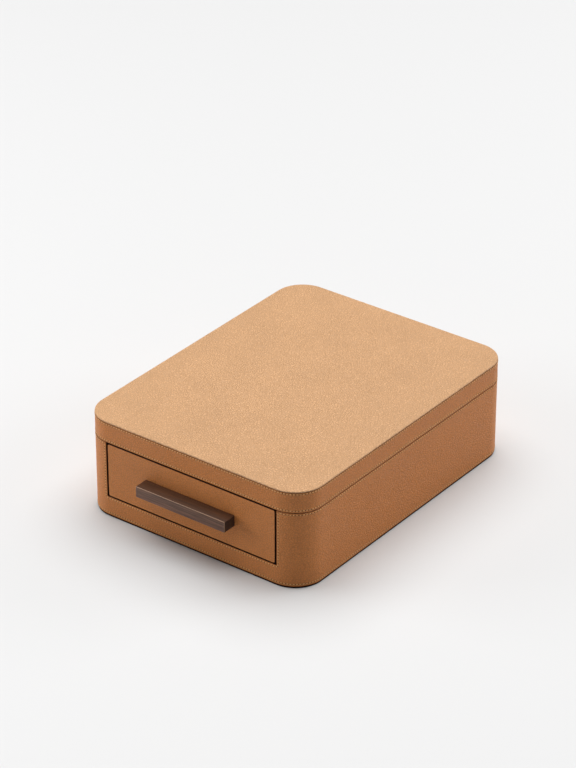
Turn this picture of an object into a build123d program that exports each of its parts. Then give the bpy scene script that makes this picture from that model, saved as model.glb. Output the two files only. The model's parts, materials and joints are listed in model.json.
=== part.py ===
"""Leather-covered jewellery box with a hinged lid and one drawer.

A board carcass with round corners is covered in stitched leather. The drawer
slides out of the short front side, in a notch that the lid closes from above.
Over the drawer bay a deck carries a lined tray with dividers and ring rolls.
The lid turns on two brass butt hinges at the back.

Millimetres. Origin at the middle of the base, on the surface it stands on.
The drawer front faces -Y, +X is to its right, +Z is up.
"""
from build123d import *
import os

# Overall size
box_width = 200.0
box_length = 260.0
box_height = 80.0
corner_radius = 23.4

# Materials
leather = 1.2
wall = 9.4
suede_board = 1.6
divider = 2.4

# Levels of the case, from the surface up
base_pad_top = 1.5
floor_z = 8.0
opening_z = 16.7
runner_z = 17.0
deck_z = 40.0
deck_thickness = 3.0
rim_z = 62.3
lid_z = 62.6

# Base
base_pad_inset = 0.5

# Drawer opening and drawer front
opening_half = 77.6
opening_corner = 1.4
drawer_gap = 1.7
drawer_front_low_z = opening_z + 1.35
drawer_front_top_z = lid_z - 1.2
drawer_front_depth = 10.0
edge_ease = 0.6
rim_ease = 0.7

# Drawer box
drawer_box_half = 75.5
drawer_board = 4.0
drawer_box_low_z = 17.2
drawer_box_top_z = 39.0
drawer_back_y = 117.6
drawer_bottom_z = 19.2
drawer_bottom_thickness = 3.0
groove_depth = 2.0
slack = 0.05
drawer_travel = 180.0
drawer_lining = 1.2
drawer_lining_top_z = 35.5
drawer_divider_top_z = 34.5

# Guides and stops inside the case
guide_thickness = 4.0
guide_clearance = 0.4
runner_width = 9.5
stop_clearance = 0.3
stop_width = 24.0
stop_length = 10.0
stop_low_z = 36.0
bumper_side = 8.0
bumper_z = 28.0
bumper_thickness = 1.5

# Pull
pull_length = 81.0
pull_height = 9.0
pull_depth = 12.0
pull_z = 40.1
pull_edge = 0.5
pull_screw_spacing = 56.0
pull_screw_radius = 1.75
pull_screw_head_radius = 3.4
pull_screw_head_height = 1.9
pull_screw_bite = 7.0

# Tray
tray_front_wall = 4.0
tray_top_z = 61.6
tray_floor = 1.2
tray_divider_top_z = 59.0
tray_cross_y = 4.5
tray_rear_divider_x = 29.8
ring_roll_count = 7
ring_roll_height = 12.0
ring_roll_gap = 0.35
ring_roll_crown = 5.5

# Lid
lid_board = 5.0
lid_lining = 1.2
lid_pad_thickness = 4.5
lid_pad_gap = 0.4
lid_pad_edge = 2.0

# Butt hinges
hinge_x = 45.0
hinge_length = 40.0
hinge_knuckles = 3
pivot_y = 131.4
pivot_z = 62.45
barrel_radius = 2.3
pin_radius = 0.9
pin_clearance = 0.03
knuckle_clearance = 0.1
barrel_clearance = 0.3
leaf_thickness = leather
leaf_inner_y = 121.6
knuckle_relief = 0.4
leaf_screw_y = 125.4
leaf_screw_spacing = 24.0
leaf_screw_radius = 1.0
leaf_screw_head_radius = 2.1
leaf_screw_bite = 6.8
pilot_depth = 7.6

# Places worked out from the sizes above
half_x = box_width / 2
half_y = box_length / 2
inner_inset = leather + wall
inner_x = half_x - inner_inset
inner_y = half_y - inner_inset
inner_radius = corner_radius - inner_inset
straight_x = half_x - corner_radius
straight_y = half_y - corner_radius
wall_top_z = rim_z - leather
wall_height = wall_top_z - floor_z
lid_frame_z = lid_z + leather
lid_top_z = box_height - leather
recess_top_z = lid_top_z - lid_board
drawer_half = opening_half - drawer_gap
drawer_front_mid_z = (drawer_front_low_z + drawer_front_top_z) / 2
drawer_front_back_y = half_y - drawer_front_depth
guide_x = drawer_box_half + guide_clearance
guide_end_y = inner_y - 0.5
drawer_inner_half = drawer_box_half - drawer_board
drawer_inner_back_y = drawer_back_y - drawer_board
tray_low_z = deck_z + deck_thickness
tray_floor_z = tray_low_z + tray_floor
tray_low_y = -inner_y + tray_front_wall
tray_mid_y = (tray_low_y + inner_y) / 2
tray_length = inner_y - tray_low_y
tray_inner_x = inner_x - suede_board
tray_inner_low_y = tray_low_y + suede_board
tray_inner_high_y = inner_y - suede_board

os.makedirs("parts", exist_ok=True)


def save(builder, name):
    """Label a finished piece and write its file."""
    builder.part.label = name
    export_step(builder.part, f"parts/{name}.step")


def plan(inset):
    """The box's rounded plan, drawn in by inset."""
    RectangleRounded(box_width - 2 * inset, box_length - 2 * inset, corner_radius - inset)


def plan_slab(low_z, high_z, inset, mode=Mode.ADD):
    """A level slab of the box's plan."""
    with BuildSketch(Plane.XY.offset(low_z)) as face:
        plan(inset)
    extrude(face.sketch, amount=high_z - low_z, mode=mode)


def block(x, y, z, mode=Mode.ADD):
    """A block between two values on each axis."""
    with Locations(((x[0] + x[1]) / 2, (y[0] + y[1]) / 2, (z[0] + z[1]) / 2)):
        Box(x[1] - x[0], y[1] - y[0], z[1] - z[0], mode=mode)


def leaf_screw_places(side):
    """The two screw places of one hinge leaf, on the side -1 or 1."""
    row = (-leaf_screw_spacing / 2, leaf_screw_spacing / 2)
    return [(side * hinge_x + offset, leaf_screw_y) for offset in row]


def knuckle_places(side, first):
    """Middles of every second knuckle along one hinge, from number first."""
    pitch = hinge_length / hinge_knuckles
    start = side * hinge_x - hinge_length / 2 + pitch / 2
    return [start + pitch * number for number in range(first, hinge_knuckles, 2)]


def cut_hinge_pockets(low_z):
    """Let both leaves and their barrels into a leather rim that starts at low_z."""
    for side in (-1, 1):
        reach = hinge_length / 2 + slack
        x = (side * hinge_x - reach, side * hinge_x + reach)
        block(x, (leaf_inner_y - slack, half_y + 1), (low_z, low_z + leather), Mode.SUBTRACT)
        with Locations((side * hinge_x, pivot_y, pivot_z)):
            Cylinder(
                barrel_radius + barrel_clearance,
                hinge_length + 2 * barrel_clearance,
                rotation=(0, 90, 0),
                mode=Mode.SUBTRACT,
            )


def screw_axes(places, face_z, turn):
    """Places to work at, each with its axis into the case (0) or into the lid (180)."""
    return [Location((x, y, face_z), (turn, 0, 0)) for x, y in places]


def countersink(margin, mode=Mode.ADD):
    """The cone of a leaf screw's head, larger all round by margin."""
    Cone(
        leaf_screw_radius + margin,
        leaf_screw_head_radius + margin,
        leaf_thickness,
        align=(Align.CENTER, Align.CENTER, Align.MAX),
        mode=mode,
    )


def cut_pilot_holes(face_z, turn):
    """Pilot holes for the leaf screws."""
    places = leaf_screw_places(-1) + leaf_screw_places(1)
    with Locations(*screw_axes(places, face_z, turn)):
        Cylinder(
            leaf_screw_radius + slack,
            pilot_depth,
            align=(Align.CENTER, Align.CENTER, Align.MAX),
            mode=Mode.SUBTRACT,
        )


# Base pad: thin dark suede sheet, drawn in so that it reads as a shadow line
with BuildPart() as base_pad:
    plan_slab(0, base_pad_top, base_pad_inset)
save(base_pad, "base_pad")

# Base board
with BuildPart() as base_board:
    plan_slab(base_pad_top, floor_z, leather)
save(base_board, "base_board")

# Side walls
for side, side_name in ((-1, "left"), (1, "right")):
    with BuildPart() as side_wall:
        with BuildSketch(Plane.XY.offset(floor_z)):
            with Locations((side * (inner_x + wall / 2), 0)):
                Rectangle(wall, 2 * straight_y)
        extrude(amount=wall_height)
    save(side_wall, f"side_wall_{side_name}")

# Rear wall, bored for the hinge screws
with BuildPart() as rear_wall:
    with BuildSketch(Plane.XY.offset(floor_z)):
        with Locations((0, inner_y + wall / 2)):
            Rectangle(2 * straight_x, wall)
    extrude(amount=wall_height)
    cut_pilot_holes(wall_top_z, 0)
save(rear_wall, "rear_wall")

# Corner blocks: quarter rings, the front pair cut back for the drawer opening
for side_x, side_name in ((-1, "left"), (1, "right")):
    for side_y, end_name in ((-1, "front"), (1, "rear")):
        with BuildPart() as corner_block:
            with BuildSketch(Plane.XY.offset(floor_z)):
                with Locations((side_x * straight_x, side_y * straight_y)):
                    Circle(corner_radius - leather)
                    Circle(inner_radius, mode=Mode.SUBTRACT)
                reach = corner_radius + 1
                low_x = opening_half + leather if side_y < 0 else straight_x
                middle = (side_x * (low_x + reach / 2), side_y * (straight_y + reach / 2))
                with Locations(middle):
                    Rectangle(reach, reach, mode=Mode.INTERSECT)
            extrude(amount=wall_height)
        save(corner_block, f"corner_block_{end_name}_{side_name}")

# Front sill under the drawer opening
with BuildPart() as front_sill:
    with BuildSketch(Plane.XY.offset(floor_z)):
        plan(leather)
        with Locations((0, -inner_y - wall / 2)):
            Rectangle(2 * (opening_half + leather), wall, mode=Mode.INTERSECT)
    extrude(amount=opening_z - leather - floor_z)
save(front_sill, "front_sill")

# Case leather: one skin round the walls, turned in over the rim and returned
# into the drawer opening
with BuildPart() as case_leather:
    with BuildSketch(Plane.XY.offset(base_pad_top)):
        plan(0)
    extrude(amount=rim_z - base_pad_top)
    chamfer(case_leather.faces().sort_by(Axis.Z)[-1].edges(), rim_ease)
    chamfer(case_leather.faces().sort_by(Axis.Z)[0].edges(), rim_ease)
    plan_slab(base_pad_top, wall_top_z, leather, Mode.SUBTRACT)
    plan_slab(wall_top_z, rim_z, inner_inset, Mode.SUBTRACT)
    with BuildSketch(Plane.XZ.offset(inner_y)) as returns:
        with Locations((0, opening_z - leather)):
            Rectangle(
                2 * (opening_half + leather),
                rim_z - opening_z + leather,
                align=(Align.CENTER, Align.MIN),
            )
    extrude(amount=wall)
    with BuildSketch(Plane.XZ.offset(inner_y)) as opening:
        with Locations((0, opening_z)):
            Rectangle(2 * opening_half, box_height, align=(Align.CENTER, Align.MIN))
        fillet(opening.vertices().group_by(Axis.Y)[0], opening_corner)
    extrude(amount=wall + 2 * leather, mode=Mode.SUBTRACT)
    mouth_edges = (
        case_leather.edges()
        .filter_by_position(Axis.Y, -half_y, -half_y + 0.1)
        .filter_by_position(Axis.X, -opening_half, opening_half)
        .filter_by_position(Axis.Z, opening_z, rim_z - rim_ease)
    )
    chamfer(mouth_edges, edge_ease)
    cut_hinge_pockets(wall_top_z)
save(case_leather, "case_leather")

# Drawer guides: bay sides and waxed runners
for side, side_name in ((-1, "left"), (1, "right")):
    with BuildPart() as bay_side:
        with BuildSketch(Plane.XY.offset(floor_z)):
            with Locations((side * (guide_x + guide_thickness / 2), 0)):
                Rectangle(guide_thickness, 2 * guide_end_y)
        extrude(amount=deck_z - floor_z)
    save(bay_side, f"bay_side_{side_name}")

    with BuildPart() as runner:
        with BuildSketch(Plane.XY.offset(floor_z)):
            with Locations((side * (guide_x - runner_width / 2), 0)):
                Rectangle(runner_width, 2 * guide_end_y)
        extrude(amount=runner_z - floor_z)
        chamfer(runner.faces().sort_by(Axis.Z)[-1].edges().filter_by(Axis.Y), edge_ease)
    save(runner, f"runner_{side_name}")

# Deck between the drawer bay and the tray
with BuildPart() as deck:
    plan_slab(deck_z, tray_low_z, inner_inset)
save(deck, "deck")

# Stop block under the deck: it meets the drawer's back at full travel
with BuildPart() as drawer_stop:
    stop_back_y = drawer_inner_back_y - drawer_travel - stop_clearance
    block(
        (-stop_width / 2, stop_width / 2),
        (stop_back_y - stop_length, stop_back_y),
        (stop_low_z, deck_z),
    )
    chamfer(drawer_stop.faces().sort_by(Axis.Z)[0].edges().filter_by(Axis.X), edge_ease)
save(drawer_stop, "drawer_stop")

# Two felt bumpers on the rear wall
with BuildPart() as drawer_bumpers:
    with BuildSketch(Plane.XZ.offset(-inner_y)):
        with Locations((-hinge_x, bumper_z), (hinge_x, bumper_z)):
            Rectangle(bumper_side, bumper_side)
    extrude(amount=bumper_thickness)
save(drawer_bumpers, "drawer_bumpers")

# Tray front wall, behind the drawer front and between the corner blocks
with BuildPart() as tray_front:
    plan_slab(tray_low_z, tray_top_z, inner_inset)
    block(
        (-half_x, half_x),
        (-inner_y + tray_front_wall, half_y),
        (tray_low_z, tray_top_z),
        Mode.SUBTRACT,
    )
    chamfer(tray_front.faces().sort_by(Axis.Z)[-1].edges().filter_by(Axis.X), edge_ease)
save(tray_front, "tray_front_wall")

# Tray lining: a suede-covered floor and walls
with BuildPart() as tray_lining:
    with BuildSketch(Plane.XY.offset(tray_low_z)):
        with Locations((0, tray_mid_y)):
            RectangleRounded(2 * inner_x, tray_length, inner_radius)
    extrude(amount=tray_top_z - tray_low_z)
    with BuildSketch(Plane.XY.offset(tray_floor_z)):
        with Locations((0, tray_mid_y)):
            RectangleRounded(
                2 * tray_inner_x,
                tray_length - 2 * suede_board,
                inner_radius - suede_board,
            )
    extrude(amount=tray_top_z - tray_floor_z, mode=Mode.SUBTRACT)
    chamfer(tray_lining.faces().sort_by(Axis.Z)[-1].edges(), suede_board / 3)
save(tray_lining, "tray_lining")


def suede_divider(x, y, z):
    """A suede-covered divider board with a soft top edge."""
    along = Axis.X if x[1] - x[0] > y[1] - y[0] else Axis.Y
    with BuildPart() as board:
        block(x, y, z)
        chamfer(board.faces().sort_by(Axis.Z)[-1].edges().filter_by(along), divider / 3)
    return board


# Tray dividers
divider_z = (tray_floor_z, tray_divider_top_z)
cross_y = (tray_cross_y - divider / 2, tray_cross_y + divider / 2)
tray_cross_divider = suede_divider(
    (-tray_inner_x + slack, tray_inner_x - slack), cross_y, divider_z
)
save(tray_cross_divider, "tray_cross_divider")

tray_front_divider = suede_divider(
    (-divider / 2, divider / 2), (tray_inner_low_y + slack, cross_y[0]), divider_z
)
save(tray_front_divider, "tray_front_divider")

for side, side_name in ((-1, "left"), (1, "right")):
    middle = side * tray_rear_divider_x
    tray_rear_divider = suede_divider(
        (middle - divider / 2, middle + divider / 2),
        (cross_y[1], tray_inner_high_y - slack),
        divider_z,
    )
    save(tray_rear_divider, f"tray_rear_divider_{side_name}")

# Ring rolls: a row of soft rolls between the rear dividers
roll_zone = tray_inner_high_y - cross_y[1]
roll_pitch = roll_zone / ring_roll_count
roll_width = roll_pitch - 2 * ring_roll_gap
roll_length = 2 * tray_rear_divider_x - divider - 2 * ring_roll_gap
for number in range(ring_roll_count):
    roll_y = cross_y[1] + roll_pitch * (number + 0.5)
    with BuildPart() as ring_roll:
        with BuildSketch(Plane.YZ.offset(-roll_length / 2)) as roll_end:
            with Locations((roll_y, tray_floor_z)):
                Rectangle(roll_width, ring_roll_height, align=(Align.CENTER, Align.MIN))
            fillet(roll_end.vertices().group_by(Axis.Y)[-1], ring_roll_crown)
        extrude(amount=roll_length)
    save(ring_roll, f"ring_roll_{number + 1}")

# Lid core: one board, routed out below
with BuildPart() as lid_core:
    plan_slab(lid_frame_z, lid_top_z, leather)
    plan_slab(lid_frame_z, recess_top_z, inner_inset, Mode.SUBTRACT)
    cut_pilot_holes(lid_frame_z, 180)
save(lid_core, "lid_core")

# Lid top leather: a panel with a turned edge
with BuildPart() as lid_top_leather:
    plan_slab(lid_top_z, box_height, 0)
    chamfer(lid_top_leather.faces().sort_by(Axis.Z)[-1].edges(), rim_ease)
save(lid_top_leather, "lid_top_leather")

# Lid band leather: round the sides and turned in under the rim
with BuildPart() as lid_band_leather:
    plan_slab(lid_z, lid_top_z, 0)
    chamfer(lid_band_leather.faces().sort_by(Axis.Z)[0].edges(), rim_ease)
    plan_slab(lid_frame_z, lid_top_z, leather, Mode.SUBTRACT)
    plan_slab(lid_z, lid_frame_z, inner_inset, Mode.SUBTRACT)
    cut_hinge_pockets(lid_z)
save(lid_band_leather, "lid_band_leather")

# Lid recess lining: a suede strip round the recess
with BuildPart() as lid_recess_lining:
    plan_slab(lid_frame_z, recess_top_z, inner_inset)
    plan_slab(lid_frame_z, recess_top_z, inner_inset + lid_lining, Mode.SUBTRACT)
save(lid_recess_lining, "lid_recess_lining")

# Lid pad: a soft suede panel with its crown facing down
with BuildPart() as lid_pad:
    plan_slab(recess_top_z - lid_pad_thickness, recess_top_z, inner_inset + lid_lining + lid_pad_gap)
    chamfer(lid_pad.faces().sort_by(Axis.Z)[0].edges(), lid_pad_edge)
save(lid_pad, "lid_pad")


def hinge_leaf(side, low_z, first, turn):
    """One hinge leaf: a screwed plate with every second knuckle of the barrel.

    first is the number of its first knuckle, and turn faces its countersinks
    up on the case or down on the lid.
    """
    middle = side * hinge_x
    pitch = hinge_length / hinge_knuckles
    seam_face_z = low_z if turn else low_z + leaf_thickness
    with BuildPart() as leaf:
        block(
            (middle - hinge_length / 2, middle + hinge_length / 2),
            (leaf_inner_y, pivot_y),
            (low_z, low_z + leaf_thickness),
        )
        with Locations((middle, pivot_y, pivot_z)):
            Cylinder(barrel_radius, hinge_length, rotation=(0, 90, 0))
        for knuckle_x in knuckle_places(side, 1 - first):
            half = pitch / 2 + knuckle_clearance
            block(
                (knuckle_x - half, knuckle_x + half),
                (pivot_y - barrel_radius - knuckle_relief, pivot_y + 2 * barrel_radius),
                (pivot_z - 2 * barrel_radius, pivot_z + 2 * barrel_radius),
                Mode.SUBTRACT,
            )
        with Locations((middle, pivot_y, pivot_z)):
            Cylinder(
                pin_radius + pin_clearance,
                2 * hinge_length,
                rotation=(0, 90, 0),
                mode=Mode.SUBTRACT,
            )
        with Locations(*screw_axes(leaf_screw_places(side), seam_face_z, turn)):
            countersink(slack, Mode.SUBTRACT)
    return leaf


def leaf_screws(face_z, turn):
    """Four countersunk wood screws with their heads at face_z."""
    with BuildPart() as screws:
        places = leaf_screw_places(-1) + leaf_screw_places(1)
        with Locations(*screw_axes(places, face_z, turn)):
            countersink(0)
            Cylinder(
                leaf_screw_radius,
                leaf_thickness + leaf_screw_bite,
                align=(Align.CENTER, Align.CENTER, Align.MAX),
            )
    return screws


# Hinges
for side, side_name in ((-1, "left"), (1, "right")):
    save(hinge_leaf(side, wall_top_z, 0, 0), f"hinge_case_leaf_{side_name}")
    save(hinge_leaf(side, lid_z, 1, 180), f"hinge_lid_leaf_{side_name}")
    with BuildPart() as hinge_pin:
        with Locations((side * hinge_x, pivot_y, pivot_z)):
            Cylinder(pin_radius, hinge_length, rotation=(0, 90, 0))
    save(hinge_pin, f"hinge_pin_{side_name}")
save(leaf_screws(rim_z, 0), "hinge_case_screws")
save(leaf_screws(lid_z, 180), "hinge_lid_screws")

# Drawer front core, bored for the pull's screws
pull_screw_places = [(-pull_screw_spacing / 2, pull_z), (pull_screw_spacing / 2, pull_z)]
with BuildPart() as drawer_front_core:
    with BuildSketch(Plane.XZ.offset(drawer_front_back_y)) as core_face:
        with Locations((0, drawer_front_mid_z)):
            Rectangle(
                2 * (drawer_half - leather),
                drawer_front_top_z - drawer_front_low_z - 2 * leather,
            )
    extrude(amount=drawer_front_depth - leather)
    with Locations(Plane.XZ.offset(drawer_front_back_y)):
        with Locations(*pull_screw_places):
            Cylinder(
                pull_screw_radius + slack,
                drawer_front_depth,
                align=(Align.CENTER, Align.CENTER, Align.MIN),
                mode=Mode.SUBTRACT,
            )
            Cone(
                pull_screw_head_radius + slack,
                pull_screw_radius + slack,
                pull_screw_head_height,
                align=(Align.CENTER, Align.CENTER, Align.MIN),
                mode=Mode.SUBTRACT,
            )
save(drawer_front_core, "drawer_front_core")

# Drawer front leather: the face, turned over all four edges
with BuildPart() as drawer_front_leather:
    with BuildSketch(Plane.XZ.offset(drawer_front_back_y)) as skin_face:
        with Locations((0, drawer_front_mid_z)):
            Rectangle(2 * drawer_half, drawer_front_top_z - drawer_front_low_z)
        fillet(skin_face.vertices(), opening_corner)
    extrude(amount=drawer_front_depth)
    chamfer(drawer_front_leather.faces().sort_by(Axis.Y)[0].edges(), edge_ease)
    with BuildSketch(Plane.XZ.offset(drawer_front_back_y)) as core_pocket:
        with Locations((0, drawer_front_mid_z)):
            Rectangle(
                2 * (drawer_half - leather),
                drawer_front_top_z - drawer_front_low_z - 2 * leather,
            )
    extrude(amount=drawer_front_depth - leather, mode=Mode.SUBTRACT)
    with BuildSketch(Plane.XZ.offset(drawer_front_back_y)):
        with Locations(*pull_screw_places):
            Circle(pull_screw_radius + slack)
    extrude(amount=2 * drawer_front_depth, mode=Mode.SUBTRACT)
save(drawer_front_leather, "drawer_front_leather")

# Drawer sides, grooved for the bottom
for side, side_name in ((-1, "left"), (1, "right")):
    with BuildPart() as drawer_side:
        with BuildSketch(Plane.XZ.offset(drawer_front_back_y)) as side_end:
            with Locations((side * (drawer_box_half - drawer_board / 2), drawer_box_low_z)):
                Rectangle(
                    drawer_board,
                    drawer_box_top_z - drawer_box_low_z,
                    align=(Align.CENTER, Align.MIN),
                )
            with Locations((side * (drawer_inner_half + groove_depth / 2), drawer_bottom_z)):
                Rectangle(
                    groove_depth,
                    drawer_bottom_thickness,
                    align=(Align.CENTER, Align.MIN),
                    mode=Mode.SUBTRACT,
                )
        extrude(amount=-(drawer_front_back_y + drawer_back_y))
        top_edges = drawer_side.faces().sort_by(Axis.Z)[-1].edges().filter_by(Axis.Y)
        chamfer(top_edges, drawer_board / 4)
    save(drawer_side, f"drawer_side_{side_name}")

# Drawer back, grooved the same way
with BuildPart() as drawer_back:
    block(
        (-drawer_inner_half, drawer_inner_half),
        (drawer_inner_back_y, drawer_back_y),
        (drawer_box_low_z, drawer_box_top_z),
    )
    block(
        (-drawer_inner_half, drawer_inner_half),
        (drawer_inner_back_y, drawer_inner_back_y + groove_depth),
        (drawer_bottom_z, drawer_bottom_z + drawer_bottom_thickness),
        Mode.SUBTRACT,
    )
    chamfer(drawer_back.faces().sort_by(Axis.Z)[-1].edges().filter_by(Axis.X), drawer_board / 4)
save(drawer_back, "drawer_back")

# Drawer bottom panel, let into the grooves
with BuildPart() as drawer_bottom:
    reach_x = drawer_inner_half + groove_depth - slack
    block(
        (-reach_x, reach_x),
        (-drawer_front_back_y, drawer_inner_back_y + groove_depth - slack),
        (drawer_bottom_z + slack, drawer_bottom_z + drawer_bottom_thickness - slack),
    )
save(drawer_bottom, "drawer_bottom")

# Drawer lining: a suede-covered floor and walls
drawer_floor_z = drawer_bottom_z + drawer_bottom_thickness
with BuildPart() as drawer_liner:
    block(
        (-drawer_inner_half + slack, drawer_inner_half - slack),
        (-drawer_front_back_y + slack, drawer_inner_back_y - slack),
        (drawer_floor_z, drawer_lining_top_z),
    )
    block(
        (-drawer_inner_half + drawer_lining, drawer_inner_half - drawer_lining),
        (-drawer_front_back_y + drawer_lining, drawer_inner_back_y - drawer_lining),
        (drawer_floor_z + drawer_lining, drawer_lining_top_z),
        Mode.SUBTRACT,
    )
    chamfer(drawer_liner.faces().sort_by(Axis.Z)[-1].edges(), drawer_lining / 3)
save(drawer_liner, "drawer_lining")

# Drawer dividers: one along and two across, halved over each other
compartment_floor_z = drawer_floor_z + drawer_lining
compartment_x = drawer_inner_half - drawer_lining
compartment_low_y = -drawer_front_back_y + drawer_lining
compartment_high_y = drawer_inner_back_y - drawer_lining
compartment_pitch = (compartment_high_y - compartment_low_y) / 3
halving_z = (compartment_floor_z + drawer_divider_top_z) / 2
halving_half = divider / 2 + slack
drawer_cross_places = {
    "front": compartment_low_y + compartment_pitch,
    "rear": compartment_low_y + 2 * compartment_pitch,
}

with BuildPart() as drawer_long_divider:
    block(
        (-divider / 2, divider / 2),
        (compartment_low_y + slack, compartment_high_y - slack),
        (compartment_floor_z, drawer_divider_top_z),
    )
    chamfer(
        drawer_long_divider.faces().sort_by(Axis.Z)[-1].edges().filter_by(Axis.Y),
        divider / 3,
    )
    for cross in drawer_cross_places.values():
        block(
            (-divider, divider),
            (cross - halving_half, cross + halving_half),
            (halving_z, drawer_divider_top_z + 1),
            Mode.SUBTRACT,
        )
save(drawer_long_divider, "drawer_long_divider")

for place_name, cross in drawer_cross_places.items():
    with BuildPart() as drawer_cross_divider:
        block(
            (-compartment_x + slack, compartment_x - slack),
            (cross - divider / 2, cross + divider / 2),
            (compartment_floor_z, drawer_divider_top_z),
        )
        chamfer(
            drawer_cross_divider.faces().sort_by(Axis.Z)[-1].edges().filter_by(Axis.X),
            divider / 3,
        )
        block(
            (-halving_half, halving_half),
            (cross - divider, cross + divider),
            (compartment_floor_z - 1, halving_z),
            Mode.SUBTRACT,
        )
    save(drawer_cross_divider, f"drawer_cross_divider_{place_name}")

# Pull: a square walnut bar with eased edges, screwed on from inside
with BuildPart() as drawer_pull:
    block(
        (-pull_length / 2, pull_length / 2),
        (-half_y - pull_depth, -half_y),
        (pull_z - pull_height / 2, pull_z + pull_height / 2),
    )
    chamfer(drawer_pull.faces().sort_by(Axis.Y)[0].edges(), pull_edge)
    with BuildSketch(Plane.XZ.offset(half_y)):
        with Locations(*pull_screw_places):
            Circle(pull_screw_radius + slack)
    extrude(amount=pull_screw_bite + slack, mode=Mode.SUBTRACT)
save(drawer_pull, "drawer_pull")

# Pull screws, heads sunk flush in the drawer front's back
with BuildPart() as pull_screws:
    with Locations(Plane.XZ.offset(drawer_front_back_y)):
        with Locations(*pull_screw_places):
            Cone(
                pull_screw_head_radius,
                pull_screw_radius,
                pull_screw_head_height,
                align=(Align.CENTER, Align.CENTER, Align.MIN),
            )
            Cylinder(
                pull_screw_radius,
                drawer_front_depth + pull_screw_bite,
                align=(Align.CENTER, Align.CENTER, Align.MIN),
            )
save(pull_screws, "pull_screws")
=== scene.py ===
"""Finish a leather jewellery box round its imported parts.

Metres, in the parts' own frame: the drawer front faces -Y, +Z is up.
"""

import json
import math

import bmesh
import bpy
from bpy.props import FloatProperty, FloatVectorProperty, PointerProperty
from mathutils import Matrix, Vector


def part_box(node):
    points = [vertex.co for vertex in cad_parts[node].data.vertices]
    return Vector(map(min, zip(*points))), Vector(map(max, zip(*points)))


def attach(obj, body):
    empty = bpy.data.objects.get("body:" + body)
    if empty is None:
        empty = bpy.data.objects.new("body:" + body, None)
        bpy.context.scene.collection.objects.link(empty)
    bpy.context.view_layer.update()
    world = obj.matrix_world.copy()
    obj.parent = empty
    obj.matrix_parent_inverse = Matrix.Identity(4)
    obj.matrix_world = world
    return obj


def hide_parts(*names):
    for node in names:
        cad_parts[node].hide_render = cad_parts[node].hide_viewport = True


bl_info = {
    "name": "Leather jewellery box",
    "version": (1, 0, 0),
    "blender": (4, 5, 0),
    "location": "3D View > Sidebar > Jewellery box",
    "description": "Builds the leather, thread, suede and brass of a jewellery box",
    "category": "Object",
}

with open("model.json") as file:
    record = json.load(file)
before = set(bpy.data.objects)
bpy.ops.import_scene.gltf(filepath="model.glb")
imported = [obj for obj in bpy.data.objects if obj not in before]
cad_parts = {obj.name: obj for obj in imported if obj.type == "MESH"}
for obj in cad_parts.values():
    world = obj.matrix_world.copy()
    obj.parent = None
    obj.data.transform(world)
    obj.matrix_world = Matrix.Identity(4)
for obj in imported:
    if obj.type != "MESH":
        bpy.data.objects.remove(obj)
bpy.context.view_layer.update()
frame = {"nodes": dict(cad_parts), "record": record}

MM = 0.001
LEATHER = 1.2 * MM
CORNER_SEGMENTS = 28

# Plan and heights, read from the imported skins
case_low, case_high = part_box("case_leather")
band_low, band_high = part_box("lid_band_leather")
top_low, top_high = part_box("lid_top_leather")
front_low, front_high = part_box("drawer_front_leather")
leaf_low, leaf_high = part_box("hinge_case_leaf_right")
_, deck_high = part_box("deck")
HALF_X = case_high.x
HALF_Y = case_high.y
INNER_X = deck_high.x
INNER_Y = deck_high.y
RIM_WIDTH = HALF_X - INNER_X
CORNER_RADIUS = 23.4 * MM
DRAWER_GAP = 1.7 * MM
SILL_GAP = 1.35 * MM
OPENING_HALF = front_high.x + DRAWER_GAP
SILL_Z = front_low.z - SILL_GAP
NEAR = 0.02 * MM
WELD = 0.1 * MM
MOUTH_REACH = 1.0 * MM
FRONT_CORNER = 1.4 * MM
PANEL_EDGE = 0.75 * MM

# Hinge pockets in the leather
POCKET_SLACK = 0.05 * MM
POCKET_DEPTH = 2.4 * MM
LEAF_DEPTH_Y = 121.6 * MM

# Stitch rows, measured from the edge that each one follows
ROW_UNDER_TOP = 2.3 * MM
ROW_OVER_SEAM = 1.7 * MM
ROW_UNDER_RIM = 1.4 * MM
ROW_OVER_BASE = 1.9 * MM
ROW_ROUND_OPENING = 1.3 * MM
OPENING_CORNER = 2.7 * MM

# Slotted screws of the hinges
SCREW_SPACING = 24.0 * MM
SLOT_WIDTH = 0.6 * MM
SLOT_DEPTH = 0.5 * MM
SCREW_SIDES = 24
FIRST_SCREW_TURN = 25
SCREW_TURN_STEP = 50

# Walnut pull
PULL_EDGE = 0.6 * MM

# Padding, smaller by a margin before it's filled
SWELL_FRAMES = 20
SWELL_PRESSURE = 4.0
SWELL_REACH = 1.2 * MM
PAD_SHRINK = 0.7 * MM
PAD_CORNER = 10.5 * MM
PAD_EDGE = 1.2 * MM
PAD_VOXEL = 2.4 * MM
ROLL_EDGE = 4.0 * MM
ROLL_VOXEL = 1.4 * MM
ROLL_COUNT = 7

# Leather: how strongly painted shade darkens each edge, where the grooves of the seams
# and the base's contact shadow fall, how far from it, and the wax's shine
SEAM_SHADE_STRENGTH = 0.85
BASE_SHADE_STRENGTH = 0.9
UNDER_PANEL_SHADE_STRENGTH = 0.75
PANEL_EDGE_SHADE_STRENGTH = 0.7
SHADE_FULL_REACH = 0.1 * MM
SHADE_END_REACH = 0.5 * MM
PANEL_RELIEF = 0.42 * MM
WAXED_SHINE = 0.5

# The photograph's camera, from the object's outline
CAMERA_AZIMUTH = 37.04
CAMERA_ELEVATION = 29.64
CAMERA_DISTANCE = 2.5142
CAMERA_TARGET = (-0.0897, 0.1051, 0.0)
CAMERA_LENS = 149.78

# Softboxes: name, side, power and place; they all aim at the box
LAMPS = (
    ("left softbox", 1.0, 10.5, (-1.35, -0.85, 0.5)),
    ("right softbox", 1.0, 11.5, (1.2, 1.5, 0.7)),
)

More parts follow.
